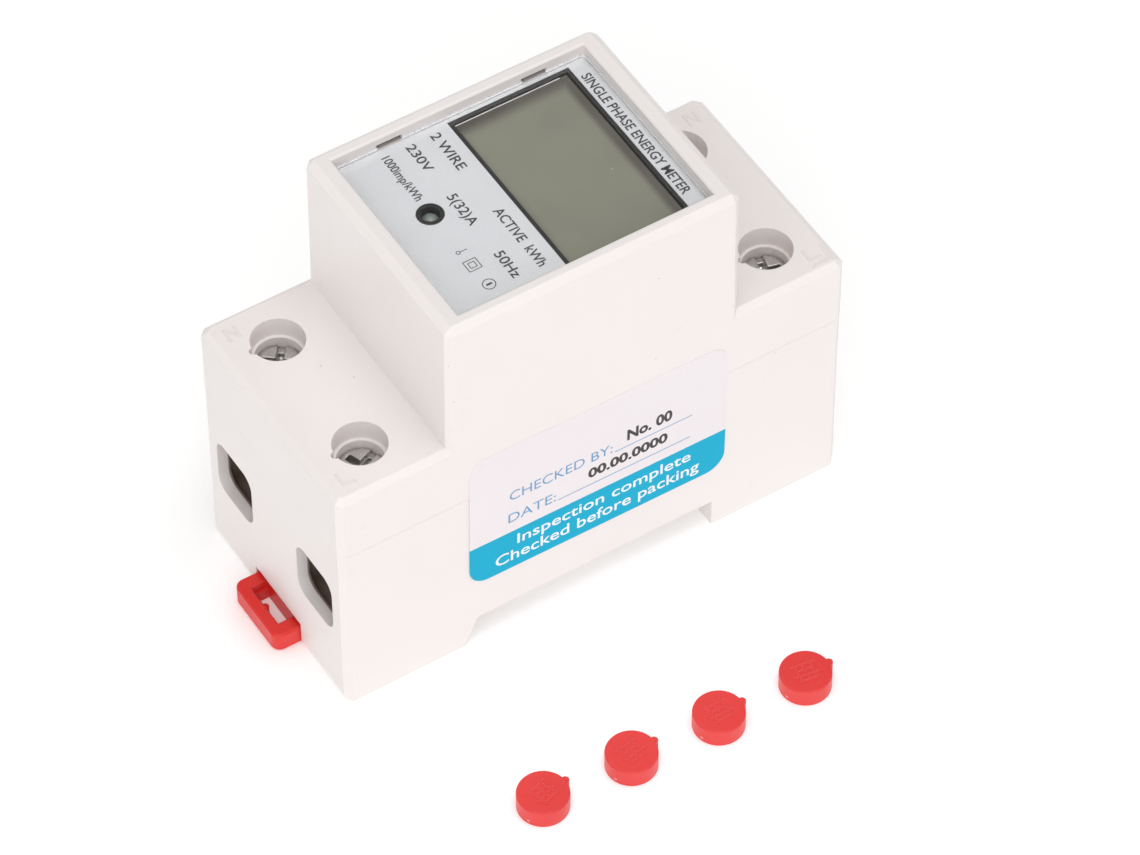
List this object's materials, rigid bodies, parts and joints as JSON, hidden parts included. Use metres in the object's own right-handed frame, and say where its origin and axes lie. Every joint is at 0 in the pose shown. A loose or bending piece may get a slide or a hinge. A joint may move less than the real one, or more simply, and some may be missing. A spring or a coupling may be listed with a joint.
{
  "type": "din rail electricity meter",
  "caption": "Two-module rail-mounting single-phase electricity meter with a display, cage terminals, a sliding rail clip and loose sealing caps.",
  "frame": {"origin": "middle of the rail seat, the channel's flat ceiling", "axes": "+Z away from the rail to the display, +X from the clip end (supply) to the load end, -Y the live side with the label"},
  "size_m": [0.0823, 0.0694, 0.0647],
  "materials": {
    "housing_plastic": "fine moulded texture, satin",
    "clear_plastic": "polished clear polycarbonate",
    "printed_plate": "silver printed film",
    "black_plastic": "satin",
    "lcd_glass": "grey-green liquid crystal panel",
    "white_film": "matt",
    "tinned_wire": "tin-plated",
    "led_epoxy": "cast clear epoxy",
    "circuit_board": "green solder mask",
    "chip_epoxy": "moulded epoxy",
    "bright_can": "drawn can",
    "capacitor_box": "moulded box",
    "capacitor_sleeve": "shrink sleeve",
    "varistor_coat": "dipped epoxy",
    "resistor_coat": "cement coat",
    "copper": "tinned copper strip",
    "shunt_alloy": "resistance alloy",
    "zinc_steel": "zinc-plated, trivalent",
    "cage_steel": "zinc-plated strip",
    "label_film": "printed self-adhesive film",
    "red_plastic": "moulded nylon"
  },
  "bodies": {
    "housing": {"base_shell": "housing_plastic", "top_cover": "housing_plastic", "clear_window": "clear_plastic", "face_plate": "printed_plate", "lcd_bezel": "black_plastic", "lcd_glass": "lcd_glass", "lcd_reflector": "white_film", "lcd_pins": "tinned_wire", "led_sleeve": "black_plastic", "pulse_led": "led_epoxy", "display_board": "circuit_board", "power_board": "circuit_board", "header_pins": "tinned_wire", "header_blocks": "black_plastic", "metering_chip": "chip_epoxy", "controller_chip": "chip_epoxy", "chip_leads": "tinned_wire", "crystal": "bright_can", "film_capacitor": "capacitor_box", "bulk_capacitor": "capacitor_sleeve", "varistor": "varistor_coat", "dropper_resistor": "resistor_coat", "rectifier_diodes": "chip_epoxy", "neutral_bar": "copper", "shunt_tabs": "copper", "shunt_element": "shunt_alloy", "sense_pins": "tinned_wire", "supply_pins": "tinned_wire", "case_screws": "zinc_steel", "inspection_label": "label_film"},
    "rail_clip": {"rail_clip": "red_plastic"},
    "cage_live_in": {"cage_live_in": "cage_steel"},
    "screw_live_in": {"screw_live_in": "zinc_steel"},
    "cage_live_out": {"cage_live_out": "cage_steel"},
    "screw_live_out": {"screw_live_out": "zinc_steel"},
    "cage_neutral_in": {"cage_neutral_in": "cage_steel"},
    "screw_neutral_in": {"screw_neutral_in": "zinc_steel"},
    "cage_neutral_out": {"cage_neutral_out": "cage_steel"},
    "screw_neutral_out": {"screw_neutral_out": "zinc_steel"},
    "seal_cap_1": {"seal_cap_1": "red_plastic"},
    "seal_cap_2": {"seal_cap_2": "red_plastic"},
    "seal_cap_3": {"seal_cap_3": "red_plastic"},
    "seal_cap_4": {"seal_cap_4": "red_plastic"}
  },
  "joints": [
    {"name": "clip_slide", "type": "slide", "parent": "housing", "child": "rail_clip", "axis": [-1, 0, 0], "range_m": [0, 0.0036], "stiffness_N_per_m": 1200, "springref_m": -0.0008},
    {"name": "screw_turn_live_in", "type": "hinge", "parent": "housing", "child": "screw_live_in", "pos_m": [-0.0314, -0.01045, 0.0304], "axis": [0, 0, -1], "range_deg": [0, 2835]},
    {"name": "cage_rise_live_in", "type": "slide", "parent": "housing", "child": "cage_live_in", "axis": [0, 0, 1], "range_m": [0, 0.0063]},
    {"name": "screw_turn_live_out", "type": "hinge", "parent": "housing", "child": "screw_live_out", "pos_m": [0.0314, -0.01045, 0.0304], "axis": [0, 0, -1], "range_deg": [0, 2835]},
    {"name": "cage_rise_live_out", "type": "slide", "parent": "housing", "child": "cage_live_out", "axis": [0, 0, 1], "range_m": [0, 0.0063]},
    {"name": "screw_turn_neutral_in", "type": "hinge", "parent": "housing", "child": "screw_neutral_in", "pos_m": [-0.0314, 0.01045, 0.0304], "axis": [0, 0, -1], "range_deg": [0, 2835]},
    {"name": "cage_rise_neutral_in", "type": "slide", "parent": "housing", "child": "cage_neutral_in", "axis": [0, 0, 1], "range_m": [0, 0.0063]},
    {"name": "screw_turn_neutral_out", "type": "hinge", "parent": "housing", "child": "screw_neutral_out", "pos_m": [0.0314, 0.01045, 0.0304], "axis": [0, 0, -1], "range_deg": [0, 2835]},
    {"name": "cage_rise_neutral_out", "type": "slide", "parent": "housing", "child": "cage_neutral_out", "axis": [0, 0, 1], "range_m": [0, 0.0063]},
    {"name": "cap_lift_1", "type": "slide", "parent": "housing", "child": "seal_cap_1", "axis": [0, 0, 1], "range_m": [0, 0.03]},
    {"name": "cap_lift_2", "type": "slide", "parent": "housing", "child": "seal_cap_2", "axis": [0, 0, 1], "range_m": [0, 0.03]},
    {"name": "cap_lift_3", "type": "slide", "parent": "housing", "child": "seal_cap_3", "axis": [0, 0, 1], "range_m": [0, 0.03]},
    {"name": "cap_lift_4", "type": "slide", "parent": "housing", "child": "seal_cap_4", "axis": [0, 0, 1], "range_m": [0, 0.03]}
  ],
  "couplings": [
    {"joint": "screw_turn_live_in", "follows": "cage_rise_live_in", "rad_per_m": 7854},
    {"joint": "screw_turn_live_out", "follows": "cage_rise_live_out", "rad_per_m": 7854},
    {"joint": "screw_turn_neutral_in", "follows": "cage_rise_neutral_in", "rad_per_m": 7854},
    {"joint": "screw_turn_neutral_out", "follows": "cage_rise_neutral_out", "rad_per_m": 7854}
  ]
}
